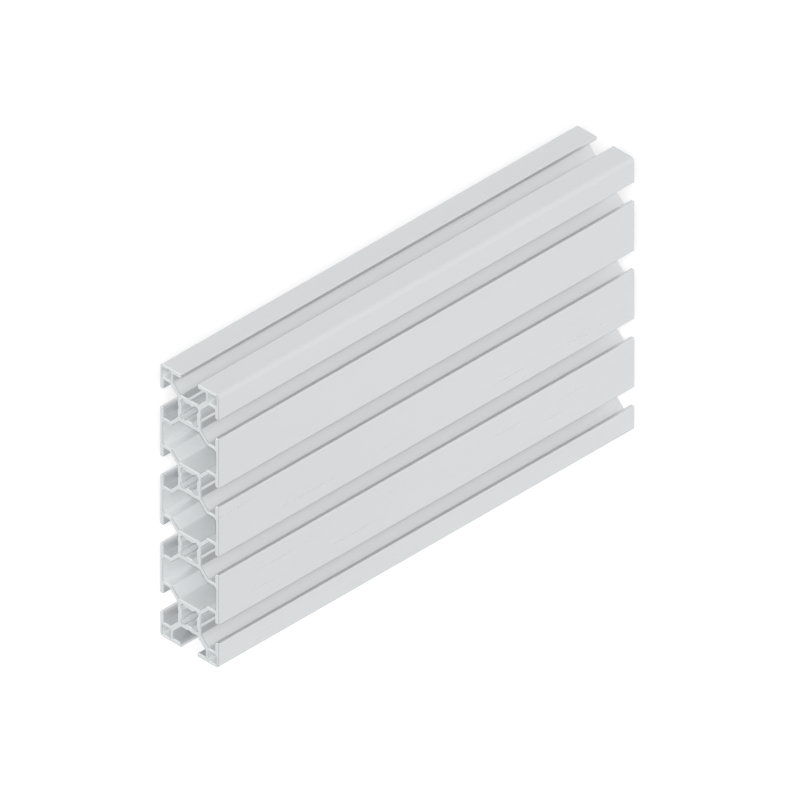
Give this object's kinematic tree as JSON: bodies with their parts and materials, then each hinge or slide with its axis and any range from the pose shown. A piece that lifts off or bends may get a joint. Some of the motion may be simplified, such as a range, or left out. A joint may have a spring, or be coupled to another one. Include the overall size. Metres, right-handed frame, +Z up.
{
  "type": "aluminium extrusion profile",
  "caption": "Tall slotted aluminium profile, sawn square, with undercut T-slots along its sides, lobed core bores and open chambers",
  "frame": {"origin": "centre of the narrow lower side, on the surface that the profile stands on", "axes": "+X along the profile's length, +Y across its narrow width, +Z up its height; the near cut end in the picture is the -X end and the broad face in view is the -Y face"},
  "size_m": [0.212, 0.03, 0.12],
  "materials": {
    "anodised_aluminium": "satin natural anodising on a matt extruded surface, with bare sawn ends"
  },
  "bodies": {
    "root": {"slotted_profile": "anodised_aluminium"}
  },
  "joints": []
}
